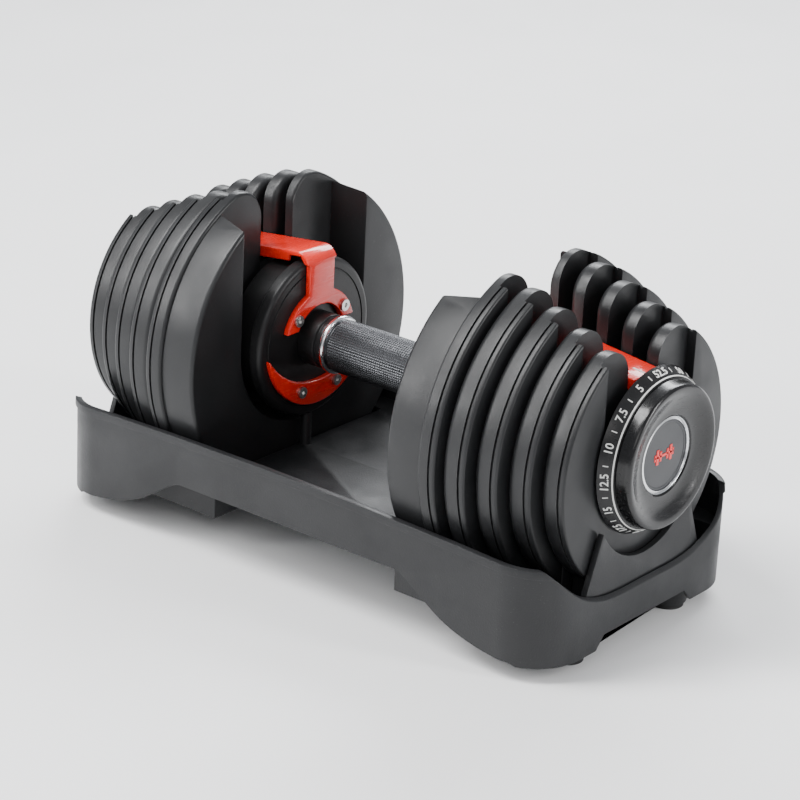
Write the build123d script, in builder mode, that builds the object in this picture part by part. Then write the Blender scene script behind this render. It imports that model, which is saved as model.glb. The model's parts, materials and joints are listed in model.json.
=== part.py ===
"""Adjustable dumbbell in its base tray.

X runs along the handle, Y across it and Z up. The origin is on the floor, under
the middle of the handle. The two ends are mirror images in the plane x = 0, so
the right end (+X) is modelled and its twin is mirrored. Millimetres.
"""
import os
from math import cos, radians, sin, sqrt

from build123d import *

os.makedirs("parts", exist_ok=True)

# ---- overall sizes ----
SPAN = 128.0               # clear length of the handle between the two hubs
FOOT_H = 15.0              # feet of the tray, under the floor of its wells

# ---- handle ----
GRIP_R = 16.5              # textured grip
GRIP_HALF = 43.0
TUBE_R = 12.7              # steel tube inside the grip
TUBE_WALL = 2.6
RING_R = 18.2              # bright ring at each end of the grip
RING_T = 4.0
COLLAR_R = 17.0
BRACKET_T = 4.0            # thickness of the red bracket
HUB_R = 50.5               # flange of the hub
HUB_FLANGE_T = 9.0
DRUM_STEP = 5.0            # the drum inside plate 1 is this much smaller
DRUM_END_GAP = 5.0         # drum to the web of plate 1
TUBE_SEAT = 16.0           # depth of the tube in the hub

# ---- plates, from the innermost outwards ----
PLATE_RADII = [101.0, 97.0, 91.0, 84.0, 77.0]
PLATE_LOADS = [10.0, 5.0, 5.0, 2.5, 1.25]      # nominal pounds
CORE_SHARE = [0.67, 0.69, 0.75, 0.54, 0.34]    # steel in the plate's thickness
WEB_1_T = 12.0             # plate 1, its web
CHEEK_T = 24.0             # plate 1, the cheeks on its inner side
CHEEK_STEP = 2.0           # the cheeks are this much smaller than plate 1
PLATE_T = 16.0             # plates 2 to 5
PLATE_GAP = 1.8
PLATE_DROP = 4.5           # centre of the outline, below the axis
FLAT_CUT = 14.0            # the bottom flat, above the lowest point of the circle
SLOT_HALF = 14.5           # half width of the slot that takes the handle
LOBE_R = 17.0              # rounding of the two lobes beside the slot
FOOT_R = 8.0
RIM_BEVEL = 2.5
SHELL_WALL = 3.0           # moulding over the rim of the steel
FACE_WALL = 1.6            # moulding over the faces of the steel
CHEEK_MOUTH = 5.5          # how much the pocket between the cheeks opens inwards

# ---- selector discs ----
DISC_R = 38.0
DISC_T = 2.0
LIP_T = 2.5                # how far the carrying lip stands out of a disc
LIP_W = 4.5                # radial width of the lip
DISC_GAP = 0.5             # disc to the plate, each side
POCKET_SIDE = 4.5          # disc to the wall of the pocket in a plate's outer face
SLEEVE_GAP = 2.5           # spacing sleeve of a disc to the slot
AXLE_R = 8.0
TAB_W, TAB_H, TAB_GAP = 14.0, 4.5, 1.5         # the tab in a pocket, and its gap over the lip
SETTINGS = [0, 1.25, 2.5, 3.75, 5, 6.25, 7.5, 8.75, 10, 12.5, 15, 17.5, 20, 22.5, 23.75]

# ---- dial ----
DIAL_GAP = 1.2             # plate 5 to the number ring
NUMBER_R, NUMBER_FRONT_R, NUMBER_T = 49.5, 44.6, 8.5
KNOB_R, KNOB_EDGE = 43.4, 3.0
DIAL_T = 17.6              # back of the number ring to the front of the knob
BADGE_R, BADGE_RING_W = 23.0, 2.0
BADGE_SINK = 5.5           # face of the badge, behind the front of the knob
BADGE_T = 2.5
KNOB_NECK_R = 38.0         # the number ring sits on this
HEAD_T, HEAD_R, WASHER_T, WASHER_R = 3.5, 5.0, 1.5, 9.0
THREAD_R, THREAD_L = 2.5, 16.0

# ---- bracket ----
BRIDGE_SIDE = 1.5          # bridge strip to the side of the slot
BRIDGE_UP, BRIDGE_END_UP = 6.7, 5.8            # top of the strip, over the hub and over the discs
BRIDGE_T = 3.0
BRIDGE_LIP = 4.0           # lips under the edges of the strip
BEND_R = 9.0
BRIDGE_END_GAP = 4.0       # end of the strip to the number ring
LEG_HALF = 11.0
FORK_R, FORK_W, FORK_FROM = 31.5, 9.5, 9.0
LENS_R, LENS_IN_R = 46.0, 27.0
LENS_SCREW_Y, LENS_SCREW_Z = 16.0, -31.0

# ---- lock and detent ----
PIN_R, PIN_X_IN = 2.6, 5.0                     # PIN_X_IN: behind the hub's inner face
PIN_TRAVEL = 5.0
PIN_LENGTH = 16.0
RUN = 0.08                 # radial clearance of a running fit
BALL_R, BALL_AT = 2.4, 30.0
BALL_OUT, BALL_GAP = 0.8, 0.3                  # the ball stands out of the drum and clears the wheel
WHEEL_IN = -0.3                                # back of the detent wheel, from the web of plate 1

# ---- tray ----
TRAY_END = 8.8             # plate 5 to the end of the tray
TRAY_CORNER = 34.0
TRAY_WALL = 2.8
RIM_Z, BAND_Z = -43.0, -75.0                   # over the axis: middle of the rim, top of the side arch
RIM_BOW = 5.0              # the rim is this much lower at its ends
SKIRT_UP = 9.0             # lowest edge of the skirt, over the floor
RIM_LIP, RIM_LIP_H = 1.6, 5.0
DECK_T = 3.0
WELL_GAP = 1.2             # plates to the walls of their well
WELL_SIDE, RIM_SIDE = 2.9, 1.5                 # plate 1 to the tray, beside it at the deck and at the rim
WELL_DEEP = 3.5            # floor of the wells, under plate 1
WELL_FLOOR_T = 3.0
PAD_T, PAD_R = 3.0, 10.0
FOOT_IN, FOOT_Y = 18.0, 50.0                   # feet: from the end of the tray, from its middle line
RIB_T = 1.2                # comb ribs between the plates
SCOOP_UP = 15.0            # lowest point of the end rims, over the well floor
SCOOP = [(0.0, 1.0), (0.5, 0.90), (0.70, 0.62), (0.86, 0.22), (1.0, 0.0)]    # share of width, share of dip
SCOOP_RUN = 44.0           # length over which the rims dip, from each end
ARCH = [(108.0, 0.0), (98.0, 0.11), (86.0, 0.36), (72.0, 0.62), (56.0, 0.80), (28.0, 0.94), (21.0, 1.0)]
HORN_Y, HORN_Z, HORN_DIP = 42.0, -38.0, -62.0
HORN_SPREAD = 13.0
CRADLE_GAP, CRADLE_T = 0.8, 4.0
END_ARCH_Y, END_ARCH_UP = 40.0, 1.0
STEP_HALF = 40.0           # half width of the steps under the plates
RIB_IN = 0.6
RIB_Y, RIB_W, RIB_UP = 44.0, 10.0, 16.0
POST_R = 3.4
PAD_SCREW_R, PAD_SCREW_L, PAD_HEAD_R, PAD_HEAD_T = 1.6, 9.0, 3.4, 1.8

# ---- worked out ----
HUB_X = SPAN / 2
BRACKET_X = HUB_X - BRACKET_T
CHEEK_X = HUB_X + HUB_FLANGE_T + 1.0
WEB_X = CHEEK_X + CHEEK_T
PLATE_X = [WEB_X] + [WEB_X + WEB_1_T + PLATE_GAP + i * (PLATE_T + PLATE_GAP) for i in range(4)]
PLATE_END = [WEB_X + WEB_1_T] + [x + PLATE_T for x in PLATE_X[1:]]
CORE_T = [share * (end - x) for share, x, end in zip(CORE_SHARE, PLATE_X, PLATE_END)]
DRUM_END = WEB_X - DRUM_END_GAP
DRUM_R = HUB_R - DRUM_STEP
POCKET_R = DISC_R + POCKET_SIDE
SLEEVE_R = SLOT_HALF - SLEEVE_GAP
TAB_TOP = DISC_R - LIP_W - TAB_GAP - TAB_H
POCKET_T = DISC_T + LIP_T + 2 * DISC_GAP + 0.5
DIAL_X = PLATE_END[-1] + DIAL_GAP
DIAL_END = DIAL_X + DIAL_T
BRIDGE_HALF = SLOT_HALF - BRIDGE_SIDE
BRIDGE_END = DIAL_X - BRIDGE_END_GAP
BRIDGE_Z, BRIDGE_END_Z = HUB_R + BRIDGE_UP, DISC_R + BRIDGE_END_UP
PIN_X = HUB_X + PIN_X_IN
DECK_TOP = BAND_Z + DECK_T
PLATE_FLOOR = [-PLATE_DROP - r + FLAT_CUT for r in PLATE_RADII]
WELL_FLOOR = PLATE_FLOOR[0] - WELL_DEEP
WELL_UNDER = WELL_FLOOR - WELL_FLOOR_T
WELL_X0 = CHEEK_X - WELL_GAP
AXIS_Z = FOOT_H + PAD_T - WELL_UNDER           # height of the handle's axis over the floor
SKIRT_Z = SKIRT_UP - AXIS_Z
STEP_ANGLE = 360.0 / len(SETTINGS)


def half_width(z):
    """Half width of plate 1 at height z over the axis."""
    return sqrt(PLATE_RADII[0] ** 2 - (z + PLATE_DROP) ** 2)


WELL_HALF = half_width(DECK_TOP) + WELL_SIDE
TRAY_HALF_L = PLATE_END[-1] + TRAY_END
TRAY_HALF_W = half_width(RIM_Z) + RIM_SIDE + TRAY_WALL + RIM_LIP
CRADLE_X = PLATE_END[-1] + CRADLE_GAP
SCOOP_Z = WELL_FLOOR + SCOOP_UP
END_ARCH_Z = WELL_UNDER - END_ARCH_UP

PROFILE = Plane(origin=(0, 0, AXIS_Z), x_dir=(1, 0, 0), z_dir=(0, -1, 0))
SPIN = Axis((0, 0, AXIS_Z), (1, 0, 0))


def across(x):
    """Plane square to the handle at x, its origin on the axis, local y up."""
    return Plane(origin=(x, 0, AXIS_Z), x_dir=(0, 1, 0), z_dir=(1, 0, 0))


def level(z):
    """Horizontal plane at height z over the axis."""
    return Plane.XY.offset(AXIS_Z + z)


def write(piece, name):
    piece.part.label = name
    export_step(piece.part, f"parts/{name}.step")


def write_pair(piece, name):
    """Write a piece of the right end, and its mirror image for the left end."""
    write(piece, name + "_right")
    with BuildPart() as twin:
        add(piece.part)
        mirror(about=Plane.YZ, mode=Mode.REPLACE)
    write(twin, name + "_left")


def write_both(piece, name):
    """Write a piece and its mirror image as two solids of one node."""
    with BuildPart() as both:
        add(piece.part)
        mirror(about=Plane.YZ)
    write(both, name)


def turned(points, mode=Mode.ADD):
    """Revolve a closed outline of (x, radius) points about the handle's axis."""
    with BuildSketch(PROFILE) as half:
        with BuildLine():
            Polyline(*points, close=True)
        make_face()
    return revolve(half.sketch, axis=SPIN, mode=mode)


def tube(x0, x1, outer, inner, edge):
    """Sleeve on the axis from x0 to x1, with its outer edges bevelled."""
    return turned([(x0, inner), (x0, outer - edge), (x0 + edge, outer),
                   (x1 - edge, outer), (x1, outer - edge), (x1, inner)])


# ---------------------------------------------------------------- handle

def handle():
    with BuildPart() as handle_tube:
        tube(-HUB_X - TUBE_SEAT, HUB_X + TUBE_SEAT, TUBE_R, TUBE_R - TUBE_WALL, 0.5)
    write(handle_tube, "handle_tube")

    with BuildPart() as grip_sleeve:
        tube(-GRIP_HALF, GRIP_HALF, GRIP_R, TUBE_R, 0.8)
    write(grip_sleeve, "grip_sleeve")

    with BuildPart() as grip_ring:
        tube(GRIP_HALF, GRIP_HALF + RING_T, RING_R, TUBE_R, 1.2)
    write_both(grip_ring, "grip_rings")

    with BuildPart() as grip_collar:
        tube(GRIP_HALF + RING_T, HUB_X, COLLAR_R, TUBE_R, 1.0)
    write_both(grip_collar, "grip_collars")


def screw_spots():
    """Places of the screws of the bracket, then those of the lower cover, on across()."""
    fork = FORK_R - FORK_W / 2
    return [(fork * cos(radians(a)), fork * sin(radians(a))) for a in (38, 142)] + [
        (LENS_SCREW_Y, LENS_SCREW_Z), (-LENS_SCREW_Y, LENS_SCREW_Z)]


def hub():
    with BuildPart() as piece:
        turned([(HUB_X, TUBE_R), (HUB_X, HUB_R - 2.5), (HUB_X + 2.5, HUB_R),
                (HUB_X + HUB_FLANGE_T, HUB_R), (HUB_X + HUB_FLANGE_T, DRUM_R),
                (DRUM_END, DRUM_R), (DRUM_END, AXLE_R + RUN),
                (HUB_X + TUBE_SEAT, AXLE_R + RUN), (HUB_X + TUBE_SEAT, TUBE_R)])
        # guide of the lock pin, open at the bottom of the flange
        with BuildSketch(level(-HUB_R - 1)):
            with Locations((PIN_X, 0)):
                Circle(PIN_R + RUN)
        extrude(amount=PIN_LENGTH + 2 * PIN_TRAVEL + 1, mode=Mode.SUBTRACT)
        # pocket of the detent spring, in the end of the drum
        with BuildSketch(across(DRUM_END)):
            with Locations((0, BALL_AT)):
                Circle(BALL_R + RUN)
        extrude(amount=-12, mode=Mode.SUBTRACT)
        # pilot holes of the bracket screws
        with BuildSketch(across(HUB_X)):
            with Locations(*screw_spots()):
                Circle(1.6)
        extrude(amount=8, mode=Mode.SUBTRACT)
    write_pair(piece, "hub")


def bracket():
    slope = (BRIDGE_END_Z - BRIDGE_Z) / (BRIDGE_END - HUB_X)
    end_low = BRIDGE_END_Z - BRIDGE_T
    with BuildPart() as piece:
        # the strip in the slots, and the leg down the face of the hub
        with BuildSketch(PROFILE) as strip:
            with BuildLine():
                Polyline((BRACKET_X, FORK_R - 4), (BRACKET_X, BRIDGE_Z), (BRIDGE_END, BRIDGE_END_Z),
                         (BRIDGE_END, end_low), (HUB_X + 3, BRIDGE_Z - BRIDGE_T - 0.6),
                         (HUB_X, BRIDGE_Z - 8), (HUB_X, FORK_R - 4), close=True)
            make_face()
            fillet(strip.vertices().sort_by(Axis.Y)[-1], BEND_R)
        extrude(amount=BRIDGE_HALF, both=True)
        # the leg is narrower than the strip
        with BuildSketch(across(BRACKET_X - 1)):
            with Locations((LEG_HALF, 0), (-LEG_HALF - BRIDGE_HALF, 0)):
                Rectangle(BRIDGE_HALF, BRIDGE_Z - 8, align=(Align.MIN, Align.MIN))
        extrude(amount=BRACKET_T + 1, mode=Mode.SUBTRACT)
        # two lips under the strip
        with BuildSketch(PROFILE):
            with BuildLine():
                low = BRIDGE_T + BRIDGE_LIP
                Polyline((HUB_X + 12, BRIDGE_Z + 12 * slope - 1), (BRIDGE_END, BRIDGE_END_Z - 1),
                         (BRIDGE_END, BRIDGE_END_Z - low), (HUB_X + 12, BRIDGE_Z + 12 * slope - low),
                         close=True)
            make_face()
        extrude(amount=BRIDGE_HALF, both=True)
        with BuildSketch(PROFILE):
            with BuildLine():
                Polyline((HUB_X + 11, BRIDGE_Z + 11 * slope - BRIDGE_T),
                         (BRIDGE_END + 1, end_low + slope), (BRIDGE_END + 1, 0), (HUB_X + 11, 0),
                         close=True)
            make_face()
        extrude(amount=BRIDGE_HALF - 2, both=True, mode=Mode.SUBTRACT)
        # the fork over the collar
        with BuildSketch(across(BRACKET_X)):
            Circle(FORK_R)
            Circle(FORK_R - FORK_W, mode=Mode.SUBTRACT)
            with Locations((0, FORK_FROM)):
                Rectangle(2 * FORK_R, 2 * FORK_R, align=(Align.CENTER, Align.MAX), mode=Mode.SUBTRACT)
        extrude(amount=BRACKET_T)
        # holes of the two upper screws
        with BuildSketch(across(BRACKET_X)):
            with Locations(*screw_spots()[:2]):
                Circle(2.1)
        extrude(amount=BRACKET_T, mode=Mode.SUBTRACT)
    write_pair(piece, "bracket")

    with BuildPart() as lens:
        with BuildSketch(across(BRACKET_X)):
            with Locations((0, 4)):
                Circle(LENS_R)
            with Locations((0, LENS_R - LENS_IN_R + 10)):
                Circle(LENS_R + 10, mode=Mode.SUBTRACT)
        extrude(amount=BRACKET_T)
        with BuildSketch(across(BRACKET_X)):
            with Locations(*screw_spots()[2:]):
                Circle(2.1)
        extrude(amount=BRACKET_T, mode=Mode.SUBTRACT)
    write_pair(lens, "lower_cover")

    with BuildPart() as screws:
        with BuildSketch(across(BRACKET_X - 1.6)):
            with Locations(*screw_spots()):
                Circle(3.6)
        extrude(amount=1.6)
        with BuildSketch(across(BRACKET_X)):
            with Locations(*screw_spots()):
                Circle(1.6)
        extrude(amount=BRACKET_T + 7)
        with BuildSketch(across(BRACKET_X - 1.6)):
            with Locations(*screw_spots()):
                RegularPolygon(1.6, 6)
        extrude(amount=1.0, mode=Mode.SUBTRACT)
    write_both(screws, "bracket_screws")


def spring(centre, direction, radius, wire, length, turns):
    """Coil spring of the given free length, from centre along direction."""
    with BuildPart() as piece:
        with BuildLine() as coil:
            Helix(length / turns, length, radius, center=centre, direction=direction)
        with BuildSketch(Plane(origin=coil.line @ 0, z_dir=coil.line % 0)):
            Circle(wire / 2)
        sweep(is_frenet=True)
    return piece


def lock():
    low = AXIS_Z - HUB_R
    with BuildPart() as pin:
        with BuildSketch(Plane.XY.offset(low)):
            with Locations((PIN_X, 0)):
                Circle(PIN_R)
        extrude(amount=PIN_LENGTH)
        chamfer(pin.edges().group_by(Axis.Z)[0], 0.8)
    write_pair(pin, "lock_pin")
    room = 2 * PIN_TRAVEL
    write_both(spring((PIN_X, 0, low + PIN_LENGTH + 0.4), (0, 0, 1), PIN_R - 0.6, 0.6, room - 1.0, 5),
               "lock_springs")


def detent():
    centre = DRUM_END + BALL_OUT - BALL_R
    with BuildPart() as ball:
        with Locations((centre, 0, AXIS_Z + BALL_AT)):
            Sphere(BALL_R)
    write_both(ball, "detent_balls")
    start = (centre - BALL_R - 0.4, 0, AXIS_Z + BALL_AT)
    write_both(spring(start, (-1, 0, 0), BALL_R - 0.7, 0.6, 6.5, 4), "detent_springs")


# ---------------------------------------------------------------- plates

def outline(radius, inset=0.0):
    """Outline of a plate: a round disc, slotted from the top and flat at the bottom."""
    r = radius - inset
    with BuildSketch(mode=Mode.PRIVATE) as face:
        with Locations((0, -PLATE_DROP)):
            Circle(r)
        Circle(SLOT_HALF + inset, mode=Mode.SUBTRACT)
        Rectangle(2 * (SLOT_HALF + inset), 2 * r, align=(Align.CENTER, Align.MIN), mode=Mode.SUBTRACT)
        with Locations((0, -PLATE_DROP - radius + FLAT_CUT + inset)):
            Rectangle(2 * r, r, align=(Align.CENTER, Align.MAX), mode=Mode.SUBTRACT)
        fillet(face.vertices().group_by(Axis.Y)[-1], LOBE_R - inset)
        fillet(face.vertices().group_by(Axis.Y)[0], FOOT_R - inset)
    return face.sketch


def upright_slot(half):
    """U-shaped opening about the axis, open at the top."""
    Circle(half)
    Rectangle(2 * half, 2 * PLATE_RADII[0], align=(Align.CENTER, Align.MIN))


def pocket(x_end, wall=0.0):
    """Cut the pocket for the selector disc into an outer face at x_end."""
    with BuildSketch(across(x_end - POCKET_T - wall)) as mouth:
        upright_slot(POCKET_R + wall)
    extrude(mouth.sketch, amount=POCKET_T + wall, mode=Mode.SUBTRACT)


def cheek_pocket(x_end, wall=0.0):
    """Cut the pocket for the hub's drum between the cheeks, wider at its mouth."""
    with BuildSketch(across(x_end)) as inner:
        upright_slot(HUB_R + wall)
    with BuildSketch(across(CHEEK_X)) as mouth:
        upright_slot(HUB_R + wall + CHEEK_MOUTH)
    loft([inner.sketch, mouth.sketch], mode=Mode.SUBTRACT)


def cheeks(x0, x1, inset=0.0):
    """Block on the inner side of plate 1, before its pocket is cut."""
    with BuildSketch(across(x0)) as base:
        add(outline(PLATE_RADII[0] - CHEEK_STEP, inset))
    return extrude(base.sketch, amount=x1 - x0)


def plate(number):
    """Moulded shell and steel core of one plate, counted from the middle."""
    i = number - 1
    radius, x0, x1 = PLATE_RADII[i], PLATE_X[i], PLATE_END[i]
    core_x = x0 + FACE_WALL
    with BuildPart() as core:
        with BuildSketch(across(core_x)):
            add(outline(radius, SHELL_WALL))
        extrude(amount=CORE_T[i])
        if number == 1:
            cheeks(CHEEK_X + FACE_WALL, core_x, SHELL_WALL)
            cheek_pocket(core_x, SHELL_WALL)
        pocket(x1, FACE_WALL)

    with BuildPart() as shell:
        with BuildSketch(across(x0)):
            add(outline(radius))
        extrude(amount=x1 - x0)
        chamfer(shell.edges().group_by(Axis.X)[0] + shell.edges().group_by(Axis.X)[-1], RIM_BEVEL)
        if number == 1:
            with BuildPart(mode=Mode.PRIVATE) as block:
                cheeks(CHEEK_X, WEB_X)
                chamfer(block.edges().group_by(Axis.X)[0], RIM_BEVEL)
            add(block.part)
            cheek_pocket(WEB_X)
        pocket(x1)
        # the tab that a disc's lip lifts
        with BuildSketch(across(x1 - POCKET_T)):
            with Locations((0, -TAB_TOP)):
                Rectangle(TAB_W, TAB_H, align=(Align.CENTER, Align.MAX))
        extrude(amount=DISC_GAP + LIP_T)
        add(core.part, mode=Mode.SUBTRACT)
    write_pair(shell, f"plate_{number}_shell")
    write_pair(core, f"plate_{number}_core")


# ---------------------------------------------------------------- dial

def carried(setting):
    """Numbers of the plates that one end carries at a setting, heaviest first."""
    left, picked = SETTINGS[setting], []
    for number, load in enumerate(PLATE_LOADS, 1):
        if load <= left:
            left -= load
            picked.append(number)
    return picked


def lip_sectors(number):
    """Angles, from straight down, at which the disc of this plate has a lip.

    The highest setting is down at rest.
    """
    last = len(SETTINGS) - 1
    return [(s - last) * STEP_ANGLE - 90 for s in range(len(SETTINGS)) if number in carried(s)]


def disc_face(i):
    """Inner face of selector disc i, just clear of the tab of its plate."""
    return PLATE_END[i] - POCKET_T + 2 * DISC_GAP + LIP_T


def sector(angle, width, reach):
    """Wedge about the axis, on the current sketch."""
    rim = [radians(angle - width / 2), radians(angle + width / 2)]
    with BuildSketch(mode=Mode.PRIVATE) as wedge:
        with BuildLine():
            Polyline((0, 0), *[(reach * cos(a), reach * sin(a)) for a in rim], close=True)
        make_face()
    return wedge.sketch


def selector_discs():
    """The five discs of one end, each with its spacing sleeve, keyed on the dial's axle."""
    discs = []
    for i in range(5):
        face = disc_face(i)
        sleeve_end = disc_face(i + 1) if i < 4 else DIAL_X
        with BuildPart() as disc:
            with BuildSketch(across(face)):
                Circle(DISC_R)
            extrude(amount=DISC_T)
            with BuildSketch(across(face + DISC_T)):
                Circle(SLEEVE_R)
            extrude(amount=sleeve_end - face - DISC_T)
            with BuildSketch(across(face)) as lips:
                for angle in lip_sectors(i + 1):
                    add(sector(angle, STEP_ANGLE, 2 * DISC_R))
                Circle(DISC_R, mode=Mode.INTERSECT)
                Circle(DISC_R - LIP_W, mode=Mode.SUBTRACT)
            extrude(amount=-LIP_T)
            with BuildSketch(across(face - LIP_T)):
                Circle(AXLE_R)
            extrude(amount=sleeve_end - face + LIP_T, mode=Mode.SUBTRACT)
        discs.append(disc.part)
    with BuildPart() as stack:
        for one in discs:
            add(one)
    write_pair(stack, "selector_discs")


def dial():
    front = DIAL_END
    seat = front - BADGE_SINK - BADGE_T            # floor of the badge's recess
    axle_end = seat - HEAD_T - WASHER_T
    with BuildPart() as axle:
        turned([(HUB_X + TUBE_SEAT + 1, 0), (HUB_X + TUBE_SEAT + 1, AXLE_R), (axle_end, AXLE_R),
                (axle_end, THREAD_R), (axle_end - THREAD_L, THREAD_R), (axle_end - THREAD_L, 0)])
    write_pair(axle, "dial_axle")

    with BuildPart() as screw:
        turned([(axle_end - THREAD_L, 0), (axle_end - THREAD_L, THREAD_R), (seat - HEAD_T, THREAD_R),
                (seat - HEAD_T, HEAD_R), (seat, HEAD_R), (seat, 0)])
        with BuildSketch(across(seat)):
            RegularPolygon(2.5, 6)
        extrude(amount=-HEAD_T / 2, mode=Mode.SUBTRACT)
    write_pair(screw, "axle_screw")

    with BuildPart() as washer:
        turned([(axle_end, THREAD_R), (axle_end, WASHER_R), (axle_end + WASHER_T, WASHER_R),
                (axle_end + WASHER_T, THREAD_R)])
    write_pair(washer, "axle_washer")

    with BuildPart() as number_ring:
        turned([(DIAL_X, KNOB_NECK_R), (DIAL_X, NUMBER_R - 0.6), (DIAL_X + 0.6, NUMBER_R),
                (DIAL_X + NUMBER_T, NUMBER_FRONT_R), (DIAL_X + NUMBER_T, KNOB_NECK_R)])
    write_pair(number_ring, "number_ring")

    with BuildPart() as knob:
        with BuildSketch(PROFILE):
            with BuildLine():
                shoulder = DIAL_X + NUMBER_T
                Polyline((seat, 0), (DIAL_X, 0), (DIAL_X, KNOB_NECK_R), (shoulder, KNOB_NECK_R),
                         (shoulder, KNOB_R), (front - KNOB_EDGE, KNOB_R - 0.8))
                ThreePointArc((front - KNOB_EDGE, KNOB_R - 0.8),
                              (front - 0.35 * KNOB_EDGE, KNOB_R - 1.9), (front, KNOB_R - 4.2))
                ThreePointArc((front, KNOB_R - 4.2), (front - 3.2, (KNOB_R + BADGE_R) / 2 - 2.4),
                              (front - BADGE_SINK + 0.6, BADGE_R + 0.8))
                Polyline((front - BADGE_SINK + 0.6, BADGE_R + 0.8), (front - BADGE_SINK, BADGE_R),
                         (seat, BADGE_R), (seat, 0))
            make_face()
        revolve(axis=SPIN)
        with BuildSketch(across(DIAL_X)):
            Circle(AXLE_R)
        extrude(amount=axle_end - DIAL_X, mode=Mode.SUBTRACT)
        with BuildSketch(across(axle_end)):
            Circle(WASHER_R)
        extrude(amount=seat - axle_end, mode=Mode.SUBTRACT)
    write_pair(knob, "dial_knob")

    with BuildPart() as badge_ring:
        inner = BADGE_R - BADGE_RING_W
        turned([(seat, inner), (seat, BADGE_R), (front - BADGE_SINK, BADGE_R),
                (front - BADGE_SINK + 0.8, BADGE_R - 0.7), (front - BADGE_SINK + 0.8, inner + 0.6),
                (front - BADGE_SINK, inner)])
    write_pair(badge_ring, "badge_ring")

    with BuildPart() as badge:
        turned([(seat, 0), (seat, inner), (front - BADGE_SINK - 0.6, inner), (front - BADGE_SINK - 0.6, 0)])
    write_pair(badge, "badge_plate")

    with BuildPart() as detent_wheel:
        face = DRUM_END + BALL_OUT + BALL_GAP
        tube(face, WEB_X + WHEEL_IN, BALL_AT + 4, AXLE_R, 0.3)
        with Locations(across(face - 0.9)):
            with PolarLocations(BALL_AT, len(SETTINGS), start_angle=90):
                Sphere(BALL_R, mode=Mode.SUBTRACT)
    write_pair(detent_wheel, "detent_wheel")


# ---------------------------------------------------------------- tray

def long_box(half_l, half_w, corner, z0, z1, mode=Mode.ADD):
    """Rounded block centred on the tray, between two heights over the axis."""
    with BuildSketch(level(z0)) as plan:
        RectangleRounded(2 * half_l, 2 * half_w, corner)
    return extrude(plan.sketch, amount=z1 - z0, mode=mode)


def well(x0, x1, half_w, z0, z1, inset=0.0, mode=Mode.ADD):
    """The same block at both ends of the tray, kept inside its rounded plan."""
    with BuildSketch(level(z0)) as plan:
        with Locations(((x0 + x1) / 2, 0), (-(x0 + x1) / 2, 0)):
            Rectangle(x1 - x0, 2 * half_w)
        RectangleRounded(2 * (TRAY_HALF_L - inset), 2 * (TRAY_HALF_W - RIM_LIP - inset),
                         TRAY_CORNER - inset, mode=Mode.INTERSECT)
    return extrude(plan.sketch, amount=z1 - z0, mode=mode)


def over_arc(z, top):
    """Region of PROFILE between the bowed line of the rim, moved to height z, and a level line at top."""
    half = 1.1 * TRAY_HALF_L
    low = z - RIM_BOW * (half / TRAY_HALF_L) ** 2
    with BuildSketch(mode=Mode.PRIVATE) as region:
        with BuildLine():
            ThreePointArc((-half, low), (0, z), (half, low))
            Polyline((half, low), (half, top), (-half, top), (-half, low))
        make_face()
    return region.sketch


def scoop_section(x, share):
    """Section at x of the dip at the ends, with a share of its full depth."""
    depth = share * (RIM_Z - SCOOP_Z)
    half = [(y * TRAY_HALF_W * 1.02, RIM_Z + 0.5 - part * depth) for y, part in SCOOP]
    with BuildSketch(across(x)) as section:
        with BuildLine():
            Spline(*[(-y, z) for y, z in reversed(half[1:])], *half, tangents=[(1, 0), (1, 0)])
            Polyline(half[-1], (half[-1][0], 0), (-half[-1][0], 0), (-half[-1][0], half[-1][1]))
        make_face()
    return section.sketch


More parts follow.
